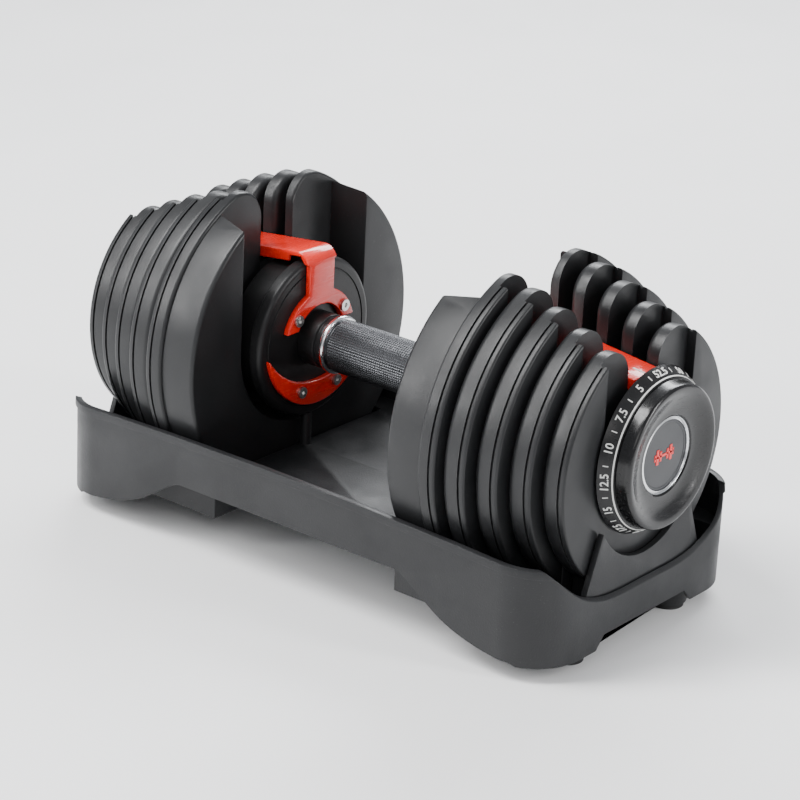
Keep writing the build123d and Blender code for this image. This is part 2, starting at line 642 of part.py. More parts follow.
def tray():
    inner_l, inner_w = TRAY_HALF_L - TRAY_WALL, TRAY_HALF_W - RIM_LIP - TRAY_WALL
    corner = TRAY_CORNER - TRAY_WALL
    low_half = WELL_HALF + TRAY_WALL
    with BuildPart() as piece:
        long_box(TRAY_HALF_L, TRAY_HALF_W - RIM_LIP, TRAY_CORNER, SKIRT_Z, RIM_Z)
        with BuildPart(mode=Mode.PRIVATE) as lip:
            long_box(TRAY_HALF_L, TRAY_HALF_W, TRAY_CORNER, RIM_Z - RIM_LIP_H - 2 * RIM_BOW, RIM_Z)
            with BuildSketch(PROFILE):
                add(over_arc(RIM_Z - RIM_LIP_H, RIM_Z + 1))
            extrude(amount=2 * TRAY_HALF_W, both=True, mode=Mode.INTERSECT)
        add(lip.part)
        with BuildSketch(PROFILE):
            add(over_arc(RIM_Z, RIM_Z + 20))
        extrude(amount=2 * TRAY_HALF_W, both=True, mode=Mode.SUBTRACT)
        # hollow above the deck, and hollow below it
        long_box(inner_l, inner_w, corner, DECK_TOP, RIM_Z, Mode.SUBTRACT)
        long_box(inner_l, inner_w, corner, SKIRT_Z, BAND_Z, Mode.SUBTRACT)
        # wells for the plates
        well(WELL_X0 - TRAY_WALL, TRAY_HALF_L, low_half, WELL_UNDER, DECK_TOP)
        well(WELL_X0, TRAY_HALF_L, WELL_HALF, WELL_FLOOR, RIM_Z, TRAY_WALL, Mode.SUBTRACT)
        # the long arch under each side, between the feet
        for side in (1, -1):
            with BuildSketch(PROFILE):
                curve = [(side * (TRAY_HALF_L - x), BAND_Z + part * (SKIRT_Z - BAND_Z)) for x, part in ARCH]
                with BuildLine():
                    Spline(*curve, tangents=[(side, 0), (side, -0.6)])
                    Polyline(curve[-1], (curve[-1][0], SKIRT_Z - 1), (0, SKIRT_Z - 1), (0, BAND_Z), curve[0])
                make_face()
            cut = extrude(amount=2 * TRAY_HALF_W, both=True, mode=Mode.PRIVATE)
            with BuildPart(mode=Mode.PRIVATE) as arch:
                add(cut)
                with BuildSketch(level(SKIRT_Z - 2)):
                    Rectangle(2 * TRAY_HALF_L, 2 * low_half)
                extrude(amount=RIM_Z - SKIRT_Z, mode=Mode.SUBTRACT)
            add(arch.part, mode=Mode.SUBTRACT)
        # the rims dip at the ends, and a low arch opens under each end
        for side in (1, -1):
            loft([scoop_section(side * (TRAY_HALF_L - SCOOP_RUN), 0.01),
                  scoop_section(side * (TRAY_HALF_L + 1), 1.0)], mode=Mode.SUBTRACT)
            with BuildSketch(across(side * TRAY_HALF_L)):
                with BuildLine():
                    Polyline((-END_ARCH_Y - 8, SKIRT_Z - 1), (-END_ARCH_Y, END_ARCH_Z),
                             (END_ARCH_Y, END_ARCH_Z), (END_ARCH_Y + 8, SKIRT_Z - 1), close=True)
                make_face()
            extrude(amount=-side * 2 * TRAY_WALL, mode=Mode.SUBTRACT)
        # cradle with two horns behind each dial
        for side in (1, -1):
            with BuildSketch(across(side * CRADLE_X)):
                with BuildLine():
                    foot = HORN_Y + HORN_SPREAD
                    Polyline((-HORN_Y, HORN_Z), (-foot, DECK_TOP), (-foot, WELL_FLOOR),
                             (foot, WELL_FLOOR), (foot, DECK_TOP), (HORN_Y, HORN_Z))
                    ThreePointArc((HORN_Y, HORN_Z), (0, HORN_DIP), (-HORN_Y, HORN_Z))
                make_face()
            extrude(amount=side * CRADLE_T)
        # steps that the plates stand on, and the comb ribs between them
        for i in range(5):
            step_x0, step_x1 = PLATE_X[i], PLATE_END[i]
            if i == 0:
                step_x0 = CHEEK_X
            well(step_x0 + RIB_IN, step_x1 - RIB_IN, STEP_HALF, WELL_FLOOR, PLATE_FLOOR[i])
            if i < 4:
                middle = (PLATE_END[i] + PLATE_X[i + 1]) / 2
                for y in (RIB_Y, -RIB_Y):
                    with BuildSketch(level(WELL_FLOOR)):
                        with Locations((middle, y), (-middle, y)):
                            Rectangle(RIB_T, RIB_W)
                    extrude(amount=PLATE_FLOOR[i] + RIB_UP - WELL_FLOOR)
        # posts that push the lock pins in
        with BuildSketch(level(DECK_TOP)):
            with Locations((PIN_X, 0), (-PIN_X, 0)):
                Circle(POST_R)
        extrude(amount=-HUB_R - DECK_TOP)
        # feet
        with BuildSketch(level(WELL_UNDER)):
            with Locations(*foot_spots()):
                Circle(PAD_R + 1.5)
        extrude(amount=-FOOT_H)
        with BuildSketch(Plane.XY.offset(PAD_T)):
            with Locations(*foot_spots()):
                Circle(PAD_SCREW_R)
        extrude(amount=PAD_SCREW_L, mode=Mode.SUBTRACT)
    write(piece, "tray")

    with BuildPart() as pads:
        with BuildSketch():
            with Locations(*foot_spots()):
                Circle(PAD_R)
                Circle(PAD_SCREW_R, mode=Mode.SUBTRACT)
        extrude(amount=PAD_T)
        with BuildSketch():
            with Locations(*foot_spots()):
                Circle(PAD_HEAD_R)
        extrude(amount=PAD_HEAD_T, mode=Mode.SUBTRACT)
    write(pads, "foot_pads")

    with BuildPart() as pad_screws:
        with BuildSketch(Plane.XY.offset(0.4)):
            with Locations(*foot_spots()):
                Circle(PAD_HEAD_R)
        extrude(amount=PAD_HEAD_T - 0.4)
        with BuildSketch(Plane.XY.offset(0.4)):
            with Locations(*foot_spots()):
                Circle(PAD_SCREW_R)
        extrude(amount=PAD_T - 0.4 + PAD_SCREW_L)
    write(pad_screws, "pad_screws")


def foot_spots():
    x, y = TRAY_HALF_L - FOOT_IN, FOOT_Y
    return [(x, y), (x, -y), (-x, y), (-x, -y)]


handle()
hub()
bracket()
lock()
detent()
for n in range(1, 6):
    plate(n)
selector_discs()
dial()
tray()
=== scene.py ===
"""Looks of the adjustable dumbbell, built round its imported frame. Metres, X along the handle."""
import json
from math import atan2, cos, degrees, hypot, pi, radians, sin, sqrt, tan

import bmesh
import bpy
from mathutils import Matrix, Vector


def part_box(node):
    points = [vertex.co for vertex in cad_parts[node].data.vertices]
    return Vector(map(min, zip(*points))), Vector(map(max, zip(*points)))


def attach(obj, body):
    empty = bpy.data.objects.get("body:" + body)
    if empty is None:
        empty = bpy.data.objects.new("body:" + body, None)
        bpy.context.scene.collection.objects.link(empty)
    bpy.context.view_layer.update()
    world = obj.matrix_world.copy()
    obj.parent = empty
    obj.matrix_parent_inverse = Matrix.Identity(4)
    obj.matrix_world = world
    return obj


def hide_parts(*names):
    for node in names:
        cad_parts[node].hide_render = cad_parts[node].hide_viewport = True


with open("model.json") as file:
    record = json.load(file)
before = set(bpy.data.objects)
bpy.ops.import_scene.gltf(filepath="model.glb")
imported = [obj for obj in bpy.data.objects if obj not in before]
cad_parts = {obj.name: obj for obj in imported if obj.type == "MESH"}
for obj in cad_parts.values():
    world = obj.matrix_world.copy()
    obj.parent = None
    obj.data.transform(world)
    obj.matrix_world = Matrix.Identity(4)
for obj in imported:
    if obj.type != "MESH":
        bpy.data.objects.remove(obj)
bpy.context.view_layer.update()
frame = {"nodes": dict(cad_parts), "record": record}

MM = 0.001
SAME = 0.02 * MM         # points closer than this are one point
SEED = 1 * MM            # side of the plane that is merged into a first vertex
ENDS = {"right": 1, "left": -1}

# ---- places and sizes, read from the frame ----

def low(node):
    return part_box(node)[0]


def high(node):
    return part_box(node)[1]


AXIS_Z = (low("grip_sleeve")[2] + high("grip_sleeve")[2]) / 2
GRIP_R = high("grip_sleeve")[1]
GRIP_HALF = high("grip_sleeve")[0]
TUBE_R = high("handle_tube")[1]
HUB_X, HUB_END = low("hub_right")[0], high("hub_right")[0]
HUB_R = high("hub_right")[1]
DIAL_X, NUMBER_FRONT = low("number_ring_right")[0], high("number_ring_right")[0]
NUMBER_R = high("number_ring_right")[1]
KNOB_FRONT, KNOB_R = high("dial_knob_right")[0], high("dial_knob_right")[1]
BADGE_R = high("badge_ring_right")[1]
SLOT_HALF = 14.5 * MM
LOBE_R = 17 * MM
FOOT_R = 8 * MM
WEB_T = 12 * MM
PLATE_DROP = 4.5 * MM
POCKET_R, POCKET_T = 42.5 * MM, 6 * MM
RING_W = 4 * MM          # bright ring between the grip and its collar
NECK_R = 38 * MM         # neck of the knob, inside the number ring
AXLE_BORE_R = 8 * MM     # bore of the knob
CONE_FALL, CONE_RUN = 4.9, 7.9
NUMBER_SLOPE = atan2(CONE_FALL, CONE_RUN)
BRIDGE_FALL, BRIDGE_RUN = 13.4, 114.4
BRIDGE_SLOPE = atan2(BRIDGE_FALL, BRIDGE_RUN)
BRIDGE_TIP_Z = 43.8 * MM     # top of the bridge over the axis, at its outer end
SETTINGS = ["5", "7.5", "10", "12.5", "15", "17.5", "20", "22.5", "25", "30", "35", "40", "45", "50", "52.5"]


# ---- small tools for modelling by hand ----

def leave_edit():
    if bpy.context.object and bpy.context.object.mode != "OBJECT":
        bpy.ops.object.mode_set(mode="OBJECT")


def only(piece):
    """Make this the one selected and active object."""
    leave_edit()
    bpy.ops.object.select_all(action="DESELECT")
    piece.select_set(True)
    bpy.context.view_layer.objects.active = piece


def edit(piece):
    only(piece)
    bpy.ops.object.mode_set(mode="EDIT")
    bpy.ops.mesh.select_mode(type="VERT")
    bpy.ops.mesh.select_all(action="SELECT")


def start(name):
    """The primitive just added becomes a named piece at the origin."""
    leave_edit()
    piece = bpy.context.object
    piece.name = piece.data.name = name
    only(piece)
    bpy.ops.object.transform_apply(location=True, rotation=True, scale=True)
    return piece


def pick(kind, test):
    """Select, in edit mode, the vertices, edges or faces that pass the test."""
    bpy.ops.mesh.select_mode(type=kind)
    bpy.ops.mesh.select_all(action="DESELECT")
    shape = bmesh.from_edit_mesh(bpy.context.edit_object.data)
    for item in {"VERT": shape.verts, "EDGE": shape.edges, "FACE": shape.faces}[kind]:
        if test(item):
            item.select_set(True)
    shape.select_flush_mode()
    bmesh.update_edit_mesh(bpy.context.edit_object.data)


def middle(item):
    return sum((v.co for v in item.verts), Vector()) / len(item.verts)


def move(dx=0.0, dy=0.0, dz=0.0):
    bpy.ops.mesh.extrude_region_move(TRANSFORM_OT_translate={"value": (dx, dy, dz)})


def modify(piece, kind, **settings):
    """Add a modifier and apply it."""
    only(piece)
    modifier = piece.modifiers.new(kind.lower(), kind)
    for key, value in settings.items():
        setattr(modifier, key, value)
    bpy.ops.object.modifier_apply(modifier=modifier.name)


def cut(piece, cutter):
    modify(piece, "BOOLEAN", operation="DIFFERENCE", solver="EXACT", object=cutter)
    bpy.data.objects.remove(cutter)


def soften(piece, width, segments=2, angle=32):
    """Round every sharp edge a little, so that it catches the light."""
    modify(piece, "BEVEL", width=width, segments=segments, limit_method="ANGLE",
           angle_limit=radians(angle), use_clamp_overlap=False)
    smooth(piece)


def smooth(piece, angle=32):
    only(piece)
    bpy.ops.object.shade_smooth_by_angle(angle=radians(angle))


def clean(piece, gap=SAME):
    edit(piece)
    bpy.ops.mesh.remove_doubles(threshold=gap)
    bpy.ops.mesh.normals_make_consistent(inside=False)
    leave_edit()


def mirrored(piece, name):
    """A copy of a right-hand piece for the left end."""
    only(piece)
    bpy.ops.object.duplicate()
    twin = bpy.context.object
    twin.name = twin.data.name = name
    edit(twin)
    bpy.ops.transform.resize(value=(-1, 1, 1), center_override=(0, 0, 0))
    bpy.ops.mesh.normals_make_consistent(inside=False)
    leave_edit()
    return twin


def joined(pieces, name):
    only(pieces[0])
    for piece in pieces:
        piece.select_set(True)
    bpy.ops.object.join()
    pieces[0].name = pieces[0].data.name = name
    return pieces[0]


def turned(name, outline, steps=96):
    """Spin an open outline of (x, radius) points about the handle's axis."""
    bpy.ops.object.select_all(action="DESELECT")
    x, r = outline[0]
    bpy.ops.mesh.primitive_plane_add(size=SEED, location=(x, 0, AXIS_Z + r))
    piece = start(name)
    edit(piece)
    bpy.ops.mesh.merge(type="CENTER")
    for (x0, r0), (x1, r1) in zip(outline, outline[1:]):
        move(x1 - x0, 0, r1 - r0)
    bpy.ops.mesh.select_all(action="SELECT")
    bpy.ops.mesh.spin(steps=steps, angle=2 * pi, center=(0, 0, AXIS_Z), axis=(1, 0, 0))
    leave_edit()
    clean(piece)
    return piece


def arc(centre, radius, start_angle, end_angle, steps):
    """Points of an arc, in degrees, on an outline."""
    turn = [start_angle + (end_angle - start_angle) * i / steps for i in range(steps + 1)]
    return [(centre[0] + radius * cos(radians(a)), centre[1] + radius * sin(radians(a))) for a in turn]


def place(piece, body, slot, *nodes):
    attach(piece, body)
    if nodes:
        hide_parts(*nodes)


# ---- materials: every pattern is in Object coordinates, in metres ----

class Finish:
    """One procedural material, built up from a Principled shader."""

    def __init__(self, name, colour, roughness, metallic=0.0, coat=0.0, specular=0.5):
        self.material = bpy.data.materials.new(name)
        self.material.use_nodes = True
        self.tree = self.material.node_tree
        self.shader = self.tree.nodes["Principled BSDF"]
        self.shader.inputs["Base Color"].default_value = (*colour, 1)
        self.shader.inputs["Roughness"].default_value = roughness
        self.shader.inputs["Metallic"].default_value = metallic
        self.shader.inputs["Coat Weight"].default_value = coat
        self.shader.inputs["Specular IOR Level"].default_value = specular
        self.place = self.node("ShaderNodeTexCoord").outputs["Object"]
        self.bumps = None

    def node(self, kind, **settings):
        made = self.tree.nodes.new(kind)
        for key, value in settings.items():
            setattr(made, key, value)
        return made

    def link(self, source, target):
        self.tree.links.new(source, target)

    def noise(self, scale, detail=3.0, rough=0.5, stretch=(1, 1, 1)):
        where = self.node("ShaderNodeMapping")
        where.inputs["Scale"].default_value = stretch
        self.link(self.place, where.inputs["Vector"])
        field = self.node("ShaderNodeTexNoise")
        field.inputs["Scale"].default_value = scale
        field.inputs["Detail"].default_value = detail
        field.inputs["Roughness"].default_value = rough
        self.link(where.outputs["Vector"], field.inputs["Vector"])
        return field.outputs["Fac"]

    def pits(self, scale):
        field = self.node("ShaderNodeTexVoronoi")
        field.inputs["Scale"].default_value = scale
        self.link(self.place, field.inputs["Vector"])
        return field.outputs["Distance"]

    def ramp(self, source, low_at, high_at, low_value=0.0, high_value=1.0):
        """Map a field from one range to another, clamped."""
        step = self.node("ShaderNodeMapRange")
        for name, value in zip(("From Min", "From Max", "To Min", "To Max"),
                               (low_at, high_at, low_value, high_value)):
            step.inputs[name].default_value = value
        self.link(source, step.inputs["Value"])
        return step.outputs["Result"]

    def worn_edges(self, radius):
        """1 on sharp edges and 0 on flats, from how far a rounded normal leaves the true one."""
        rounded = self.node("ShaderNodeBevel", samples=4)
        rounded.inputs["Radius"].default_value = radius
        true = self.node("ShaderNodeNewGeometry")
        dot = self.node("ShaderNodeVectorMath", operation="DOT_PRODUCT")
        self.link(rounded.outputs["Normal"], dot.inputs[0])
        self.link(true.outputs["Normal"], dot.inputs[1])
        return self.ramp(dot.outputs["Value"], 0.985, 0.90)

    def times(self, a, b):
        step = self.node("ShaderNodeMath", operation="MULTIPLY")
        self.link(a, step.inputs[0])
        self.link(b, step.inputs[1])
        return step.outputs["Value"]

    def tint(self, field, colour, target="Base Color"):
        """Blend the colour so far towards another one where the field is high."""
        mix = self.node("ShaderNodeMix", data_type="RGBA")
        socket = self.shader.inputs[target]
        if socket.is_linked:
            self.link(socket.links[0].from_socket, mix.inputs["A"])
        else:
            mix.inputs["A"].default_value = socket.default_value
        mix.inputs["B"].default_value = (*colour, 1)
        self.link(field, mix.inputs["Factor"])
        self.link(mix.outputs["Result"], socket)

    def roughness(self, field, smooth_value, rough_value):
        self.link(self.ramp(field, 0.3, 0.7, smooth_value, rough_value), self.shader.inputs["Roughness"])

    def bump(self, field, depth, strength=1.0):
        step = self.node("ShaderNodeBump")
        step.inputs["Distance"].default_value = depth
        step.inputs["Strength"].default_value = strength
        self.link(field, step.inputs["Height"])
        if self.bumps:
            self.link(self.bumps, step.inputs["Normal"])
        self.bumps = step.outputs["Normal"]
        self.link(self.bumps, self.shader.inputs["Normal"])


def moulded(name, colour, rough, grain, grain_depth, pale, wear=0.35):
    """Satin moulding: fine grain, soft mottling, a little dust and paler rubbed edges."""
    finish = Finish(name, colour, rough, specular=0.3)
    cloud = finish.noise(22, 4)
    finish.tint(finish.ramp(cloud, 0.35, 0.75, 0, 0.55), tuple(1.5 * c for c in colour))
    dust = finish.ramp(finish.noise(900, 2, 0.7), 0.66, 0.80, 0, 0.16)
    finish.tint(dust, pale)
    scuffs = finish.ramp(finish.noise(160, 6, 0.65, (1, 2.2, 1)), 0.50, 0.74)
    finish.tint(finish.ramp(finish.times(finish.worn_edges(0.8 * MM), scuffs), 0, 1, 0, wear), pale)
    finish.roughness(finish.noise(45, 5), rough - 0.07, rough + 0.10)
    finish.bump(finish.noise(grain, 2, 0.6), grain_depth)
    finish.bump(finish.pits(grain * 0.55), grain_depth * 0.6)
    return finish.material


def polished(name, colour, rough, coat, pale):
    """Glossy moulding: faint waviness, hairline scratches, a little dust."""
    finish = Finish(name, colour, rough, coat=coat, specular=0.35)
    finish.shader.inputs["Coat Roughness"].default_value = 0.04
    finish.tint(finish.ramp(finish.noise(30, 3), 0.4, 0.7, 0, 0.5), tuple(1.35 * c for c in colour))
    finish.tint(finish.ramp(finish.noise(1100, 2, 0.7), 0.68, 0.80, 0, 0.12), pale)
    scratches = finish.noise(380, 6, 0.7, (1, 0.12, 1))
    finish.roughness(scratches, rough - 0.05, rough + 0.09)
    finish.bump(finish.noise(70, 2), 0.00012, 0.35)
    finish.bump(scratches, 0.000012, 0.5)
    return finish.material


def bare_metal(name, colour, rough, stretch, grain=600, dark=0.7):
    """Machined or plated metal, with fine lines along one direction and dull blotches."""
    finish = Finish(name, colour, rough, metallic=1.0)
    finish.tint(finish.ramp(finish.noise(60, 5, 0.6), 0.45, 0.75, 0, 0.5), tuple(dark * c for c in colour))
    lines = finish.noise(grain, 4, 0.6, stretch)
    finish.roughness(lines, rough - 0.06, rough + 0.12)
    finish.bump(lines, 0.00002, 0.6)
    return finish.material


def make_materials():
    pale = (0.22, 0.22, 0.215)
    return {
        "plate_moulding": moulded("plate_moulding", (0.0125, 0.013, 0.0138), 0.36, 2600, 0.00003, pale, 0.25),
        "black_moulding": moulded("black_moulding", (0.008, 0.008, 0.0085), 0.38, 2200, 0.00004, pale, 0.2),
        "tray_moulding": moulded("tray_moulding", (0.013, 0.0135, 0.0145), 0.43, 1500, 0.00006, pale, 0.3),
        "disc_moulding": moulded("disc_moulding", (0.060, 0.060, 0.064), 0.50, 1800, 0.00006, pale, 0.2),
        "number_black": moulded("number_black", (0.010, 0.010, 0.0105), 0.26, 2800, 0.00003, pale, 0.2),
        "red_moulding": polished("red_moulding", (0.70, 0.018, 0.008), 0.24, 0.5, (0.85, 0.45, 0.4)),
        "gloss_black": polished("gloss_black", (0.005, 0.005, 0.0054), 0.22, 0.15, (0.2, 0.2, 0.2)),
        "emblem_red": polished("emblem_red", (0.62, 0.014, 0.012), 0.3, 0.3, (0.8, 0.4, 0.4)),
        "badge_face": moulded("badge_face", (0.040, 0.041, 0.044), 0.36, 3200, 0.00003, pale, 0.1),
        "bright_metal": bare_metal("bright_metal", (0.80, 0.81, 0.82), 0.16, (1, 0.05, 0.05)),
        "grip_metal": bare_metal("grip_metal", (0.075, 0.077, 0.082), 0.36, (1, 1, 1), 900, 0.55),
        "hardware_steel": bare_metal("hardware_steel", (0.56, 0.56, 0.55), 0.30, (1, 1, 0.2), 700),
        "plate_steel": bare_metal("plate_steel", (0.20, 0.20, 0.205), 0.45, (1, 1, 1), 400, 0.5),
        "foot_rubber": moulded("foot_rubber", (0.016, 0.016, 0.016), 0.72, 1200, 0.0001, pale, 0.1),
        # Pale paint for the printed settings, ticks and pointer, and for the painted highlight ring at the
        # front of the number ring.
        "print_and_painted_highlight": moulded("print_and_painted_highlight", (0.62, 0.62, 0.60), 0.5, 2000, 0.00003, (0.4, 0.4, 0.4), 0.1),
    }


MATERIALS = make_materials()


def paint(piece, name):
    piece.data.materials.clear()
    piece.data.materials.append(MATERIALS[name])


# Every node gets its material, also where a finer piece replaces it.
SLOT_OF = {part["node"]: part["material_slot"] for part in frame["record"]["subparts"]}
for node, obj in frame["nodes"].items():
    paint(obj, SLOT_OF[node])


# ---- shared ways of making a piece ----

def traced(name, points):
    """Extrude one vertex along a line of points."""
    bpy.ops.object.select_all(action="DESELECT")
    bpy.ops.mesh.primitive_plane_add(size=SEED, location=points[0])
    piece = start(name)
    edit(piece)
    bpy.ops.mesh.merge(type="CENTER")
    for here, there in zip(points, points[1:]):
        move(*(Vector(there) - Vector(here)))
    leave_edit()
    return piece


def filled(piece):
    edit(piece)
    bpy.ops.mesh.remove_doubles(threshold=SAME)
    bpy.ops.mesh.edge_face_add()


def slab(name, outline, x0, x1):
    """A block across the handle with this closed outline of (y, z over the axis)."""
    piece = traced(name, [(x0, y, AXIS_Z + z) for y, z in outline])
    filled(piece)
    move(x1 - x0)
    leave_edit()
    clean(piece)
    return piece


def at_x(item, x):
    return all(abs(v.co.x - x) < SAME for v in item.verts)


def round_edges(piece, test, width, segments):
    """Round the edges that pass the test."""
    edit(piece)
    pick("EDGE", test)
    bpy.ops.mesh.bevel(offset=width, segments=segments, profile=0.5, affect="EDGES", clamp_overlap=False)
    leave_edit()


def refined(node, name, width, segments=2, angle=30):
    """A copy of a node's shape, its faces merged and its edges rounded."""
    piece = bpy.data.objects.new(name, frame["nodes"][node].data.copy())
    bpy.context.scene.collection.objects.link(piece)
    edit(piece)
    bpy.ops.mesh.remove_doubles(threshold=0.00001)
    bpy.ops.mesh.dissolve_limited(angle_limit=radians(0.6))
    bpy.ops.mesh.normals_make_consistent(inside=False)
    leave_edit()
    soften(piece, width, segments, angle)
    return piece


def both_ends(piece, name, body, slot, node):
    """Place a right-hand piece and its mirrored twin."""
    paint(piece, slot)
    twin = mirrored(piece, name + "_left")
    piece.name = piece.data.name = name + "_right"
    for one, end in ((piece, "right"), (twin, "left")):
        place(one, body.format(end), slot, node.format(end))
    return piece, twin


# ---- plates ----

def half_outline(radius, bottom):
    """Right half of a plate's outline, from the flat round to the bottom of the slot."""
    centre = -PLATE_DROP
    foot_z = bottom + FOOT_R
    foot_y = sqrt((radius - FOOT_R) ** 2 - (foot_z - centre) ** 2)
    lobe_y = SLOT_HALF + LOBE_R
    lobe_z = centre + sqrt((radius - LOBE_R) ** 2 - lobe_y ** 2)
    foot_turn = degrees(atan2(foot_z - centre, foot_y))
    lobe_turn = degrees(atan2(lobe_z - centre, lobe_y))
    return ([(0, bottom)] + arc((foot_y, foot_z), FOOT_R, -90, foot_turn, 7)
            + arc((0, centre), radius, foot_turn, lobe_turn, 44)[1:]
            + arc((lobe_y, lobe_z), LOBE_R, lobe_turn, 180, 14)[1:]
            + arc((0, 0), SLOT_HALF, 0, -90, 10))


def plate_blank(name, radius, bottom, x0, bands):
    """Solid plate from x0 outwards, extruded in bands of the given widths."""
    piece = traced(name, [(x0, y, AXIS_Z + z) for y, z in half_outline(radius, bottom)])
    modify(piece, "MIRROR", use_axis=(False, True, False), merge_threshold=SAME)
    filled(piece)
    for width in bands:
        move(width)
    leave_edit()
    clean(piece)
    return piece


def opening(name, half, x0, x1, taper=1.0):
    """Cutter for a U-shaped pocket about the axis, open at the top, its far end scaled by taper."""
    top = 0.14
    piece = slab(name, [(half, top)] + arc((0, 0), half, 0, -180, 64) + [(-half, top)], x0, x1)
    if taper != 1.0:
        edit(piece)
        pick("VERT", lambda v: abs(v.co.x - x1) < SAME)
        bpy.ops.transform.resize(value=(1, taper, taper), center_override=(x1, 0, AXIS_Z))
        leave_edit()
    return piece


def groove(piece, x0, x1, depth):
    """Sink the band of the rim between x0 and x1."""
    edit(piece)
    pick("FACE", lambda f: abs(f.normal.x) < 0.5 and x0 < middle(f).x < x1)
    bpy.ops.mesh.extrude_region_shrink_fatten(TRANSFORM_OT_shrink_fatten={"value": -depth})
    leave_edit()


def on_mouth(p, half):
    """True on the edge of a U-shaped pocket of this half width."""
    z = p.z - AXIS_Z
    return abs((abs(p.y) if z > 0 else hypot(p.y, z)) - half) < 0.05 * MM


def plate(number):
    node = f"plate_{number}_shell_right"
    x_in, x1, radius = low(node)[0], high(node)[0], high(node)[1]
    bottom = low(node)[2] - AXIS_Z
    thick = WEB_T if number == 1 else x1 - x_in
    x0 = x1 - thick
    lip, line, line_depth = 3.2 * MM, 1.5 * MM, 1.2 * MM
    piece = plate_blank("plate", radius, bottom, x0, [thick - lip - line, line, lip])
    groove(piece, x1 - lip - line, x1 - lip, line_depth)
    inner_round = 1.9 * MM if number == 1 else 4.4 * MM
    round_edges(piece, lambda e: at_x(e, x0), inner_round, 6)
    round_edges(piece, lambda e: at_x(e, x1), 1.3 * MM, 3)
    if number == 1:
        step, overlap = 2 * MM, 3 * MM
        block = plate_blank("cheeks", radius - step, bottom + step, x_in, [x0 - x_in + overlap])
        round_edges(block, lambda e: at_x(e, x_in), 2.4 * MM, 4)
        wide = HUB_R + 5.5 * MM
        cut(block, opening("drum_room", wide, x_in, x0 + 0.01 * MM, HUB_R / wide))
        round_edges(block, lambda e: at_x(e, x_in) and on_mouth(middle(e), wide), 0.5 * MM, 3)
        modify(piece, "BOOLEAN", operation="UNION", solver="EXACT", object=block)
        bpy.data.objects.remove(block)
    cut(piece, opening("disc_room", POCKET_R, x1 - POCKET_T, x1 + 5 * MM))
    clean(piece, 0.00001)
    round_edges(piece, lambda e: at_x(e, x1) and on_mouth(middle(e), POCKET_R), 0.4 * MM, 3)
    smooth(piece, 34)
    both_ends(piece, f"plate_{number}", f"plate_{number}_{{}}", "plate_moulding",
              f"plate_{number}_shell_{{}}")


for number in range(1, 6):
    plate(number)


# ---- handle: grip, rings, collars, hubs and brackets ----

def grip():
    """Knurled sleeve: rings of small squares, each raised to a point."""
    relief, end, half_end, drop = 0.45 * MM, 1.6 * MM, 0.5 * MM, 0.9 * MM
    base = GRIP_R - relief
    bpy.ops.object.select_all(action="DESELECT")
    bpy.ops.mesh.primitive_cylinder_add(vertices=64, radius=base, depth=2 * (GRIP_HALF - end),
                                        end_fill_type="NOTHING", location=(0, 0, AXIS_Z),
                                        rotation=(0, pi / 2, 0))
    piece = start("grip")
    edit(piece)
    pick("EDGE", lambda e: abs(e.verts[0].co.x - e.verts[1].co.x) > 0.01)
    bpy.ops.mesh.subdivide(number_cuts=49)
    pick("FACE", lambda f: True)
    bpy.ops.mesh.poke(offset=relief)
    for side in (1, -1):
        edge_x = side * (GRIP_HALF - end)
        pick("VERT", lambda v: abs(v.co.x - edge_x) < SAME)
        move(side * half_end)
        move(side * (end - half_end))
        shrink = (base - drop) / base
        bpy.ops.transform.resize(value=(1, shrink, shrink), center_override=(side * GRIP_HALF, 0, AXIS_Z))
        move()
        shrink = TUBE_R / (base - drop)
        bpy.ops.transform.resize(value=(1, shrink, shrink), center_override=(side * GRIP_HALF, 0, AXIS_Z))
    pick("EDGE", lambda e: e.is_boundary)
    bpy.ops.mesh.bridge_edge_loops()
    leave_edit()
    clean(piece)
    smooth(piece, 20)
    paint(piece, "grip_metal")
    place(piece, "handle", "grip_metal", "grip_sleeve")


def pair_on_handle(piece, name, slot, node):
    """A piece and its mirrored twin in one object, on the handle."""
    twin = mirrored(piece, name + "_twin")
    whole = joined([piece, twin], name)
    paint(whole, slot)
    place(whole, "handle", slot, node)


def sleeve_fittings():
    x0, r, edge = GRIP_HALF, high("grip_rings")[1], 1.4 * MM
    x1 = x0 + RING_W
    ring = turned("ring", [(x0, TUBE_R), (x0, r - edge)] + arc((x0 + edge, r - edge), edge, 180, 90, 5)[1:]
                  + arc((x1 - edge, r - edge), edge, 90, 0, 5) + [(x1, TUBE_R), (x0, TUBE_R)])
    smooth(ring)
    pair_on_handle(ring, "bright_rings", "bright_metal", "grip_rings")
    c = high("grip_collars")[1]
    collar = turned("collar", [(x1, TUBE_R), (x1, c - 1.6 * MM), (x1 + 0.6 * MM, c - 0.8 * MM),
                               (x1 + 3 * MM, c - 0.6 * MM), (x1 + 3.3 * MM, c - 1.4 * MM),
                               (x1 + 4.3 * MM, c - 1.4 * MM), (x1 + 4.6 * MM, c - 0.3 * MM),
                               (x1 + 5 * MM, c), (HUB_X, c), (HUB_X, TUBE_R), (x1, TUBE_R)])
    soften(collar, 0.25 * MM, 2)
    pair_on_handle(collar, "collars", "black_moulding", "grip_collars")


